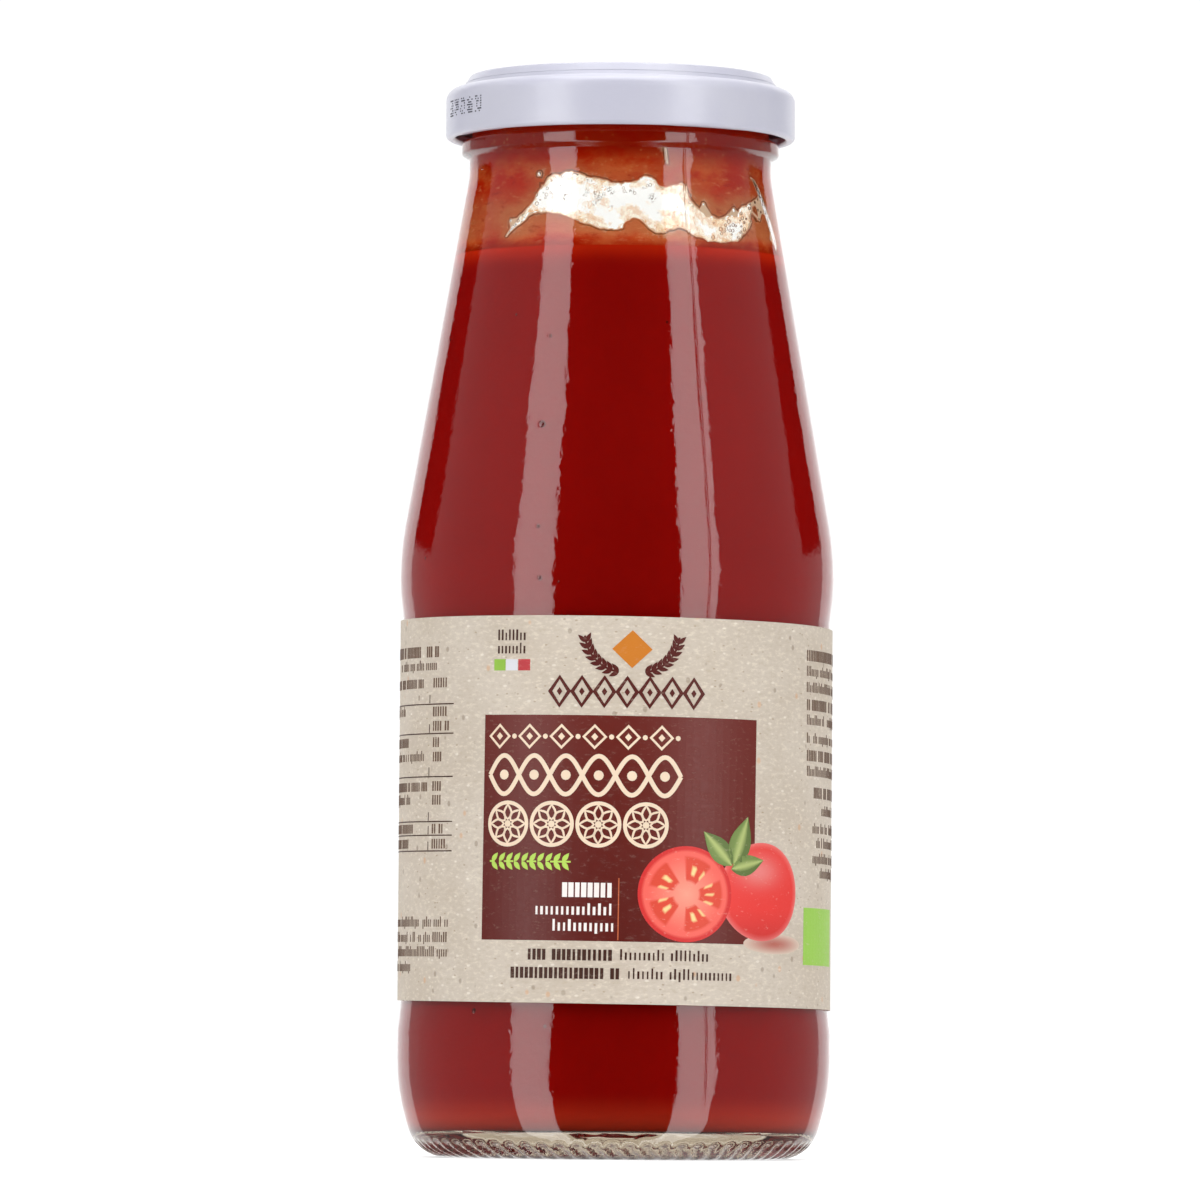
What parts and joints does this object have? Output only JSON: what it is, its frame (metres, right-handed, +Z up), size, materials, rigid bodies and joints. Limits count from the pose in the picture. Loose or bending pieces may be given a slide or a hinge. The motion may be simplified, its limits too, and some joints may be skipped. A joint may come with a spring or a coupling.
{
  "type": "passata bottle",
  "caption": "Clear glass bottle of tomato passata: long tapering neck, white twist-off lug cap and a kraft paper label wrapped round the body, standing on its base.",
  "frame": {"origin": "centre of the base, on the plane that the bottle stands on", "axes": "+Z up along the bottle's axis, -Y out of the middle of the label's front, +X to the right of the label as it is read"},
  "size_m": [0.0702, 0.0702, 0.175],
  "materials": {
    "glass": "clear moulded glass, glossy",
    "passata": null,
    "cap_enamel": "white enamelled tinplate, semi-gloss",
    "kraft_label": "uncoated kraft paper with fine flecks, printed in maroon, cream, ochre, green and red"
  },
  "bodies": {
    "root": {"bottle": "glass", "passata": "passata", "cap": "cap_enamel", "label": "kraft_label"}
  },
  "joints": []
}
